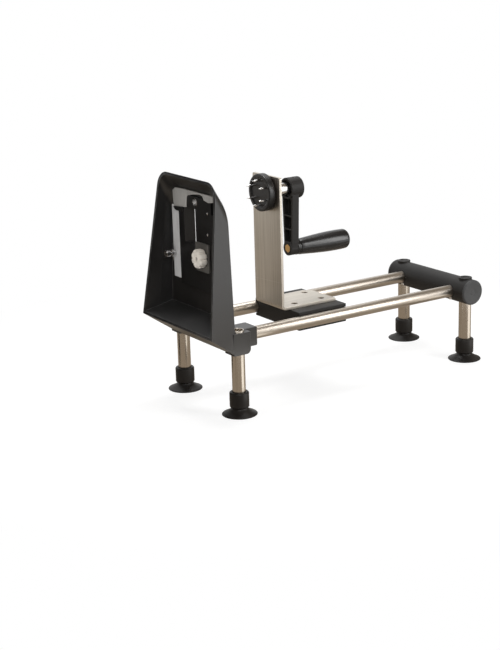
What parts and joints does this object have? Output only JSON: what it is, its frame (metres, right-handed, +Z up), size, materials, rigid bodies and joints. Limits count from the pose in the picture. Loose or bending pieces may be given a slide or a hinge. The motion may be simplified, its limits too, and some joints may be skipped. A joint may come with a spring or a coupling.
{
  "type": "hand cranked vegetable spiralizer",
  "caption": "Black moulded blade hood on a steel tube frame with suction feet; a carriage slides on the rods with a crank, food holder and turning grip.",
  "frame": {"origin": "on the table, under the middle of the bounding box", "axes": "+X along the slide rods from the hood to the rear bar, +Z up, +Y towards the clamping strip's side"},
  "size_m": [0.3672, 0.1454, 0.2437],
  "materials": {
    "hood_plastic": "satin moulded black plastic",
    "cassette_plastic": "satin moulded black plastic",
    "block_plastic": "fine satin black plastic",
    "cap_plastic": "satin dark grey plastic",
    "foot_rubber": "matte black rubber",
    "tube_steel": "polished stainless tube",
    "plate_steel": "brushed stainless sheet",
    "blade_steel": "ground stainless steel",
    "pin_steel": "bright steel",
    "screw_steel": "bright plated steel",
    "strip_metal": "matte pale metal",
    "clamp_metal": "dark grey coated steel",
    "knob_plastic": "ivory plastic, slight gloss",
    "brass": "plain brass",
    "washer_plastic": "gloss black plastic",
    "grip_plastic": "gloss black plastic"
  },
  "bodies": {
    "frame": {"blade_hood": "hood_plastic", "blade_cassette": "cassette_plastic", "slicing_blade": "blade_steel", "comb_strip": "blade_steel", "blade_screws": "screw_steel", "comb_screws": "screw_steel", "coring_tube": "blade_steel", "clamp_plate": "clamp_metal", "clamp_stud": "screw_steel", "clamping_strip": "strip_metal", "socket_screw": "screw_steel", "ring_nut": "screw_steel", "wire_clip": "screw_steel", "back_nut": "screw_steel", "front_left_leg": "tube_steel", "front_right_leg": "tube_steel", "rear_left_leg": "tube_steel", "rear_right_leg": "tube_steel", "front_left_foot": "foot_rubber", "front_right_foot": "foot_rubber", "rear_left_foot": "foot_rubber", "rear_right_foot": "foot_rubber", "left_rod": "tube_steel", "right_rod": "tube_steel", "rear_bar": "block_plastic", "left_bar_cap": "cap_plastic", "right_bar_cap": "cap_plastic", "rod_grub_screws": "screw_steel"},
    "knob": {"clamp_knob": "knob_plastic"},
    "carriage": {"carriage_block": "block_plastic", "carriage_bracket": "plate_steel", "bracket_screws": "screw_steel", "shaft_bush": "pin_steel"},
    "crank": {"crank_shaft": "pin_steel", "food_holder": "cassette_plastic", "holder_prongs": "pin_steel", "crank_arm": "block_plastic", "arm_grub_screw": "screw_steel", "brass_insert": "brass", "grip_spindle": "pin_steel", "neck_washer": "washer_plastic"},
    "grip": {"crank_grip": "grip_plastic"}
  },
  "joints": [
    {"name": "carriage_slide", "type": "slide", "parent": "frame", "child": "carriage", "axis": [1, 0, 0], "range_m": [-0.06, 0.1445]},
    {"name": "crank_spin", "type": "hinge", "parent": "carriage", "child": "crank", "pos_m": [-0.03, 0, 0.216], "axis": [1, 0, 0], "continuous": true},
    {"name": "grip_spin", "type": "hinge", "parent": "crank", "child": "grip", "pos_m": [0, 0, 0.1508], "axis": [1, 0, 0], "continuous": true},
    {"name": "knob_turn", "type": "hinge", "parent": "frame", "child": "knob", "pos_m": [-0.162, -0.0157, 0.161], "axis": [1, 0, 0], "range_deg": [-360, 0]}
  ]
}
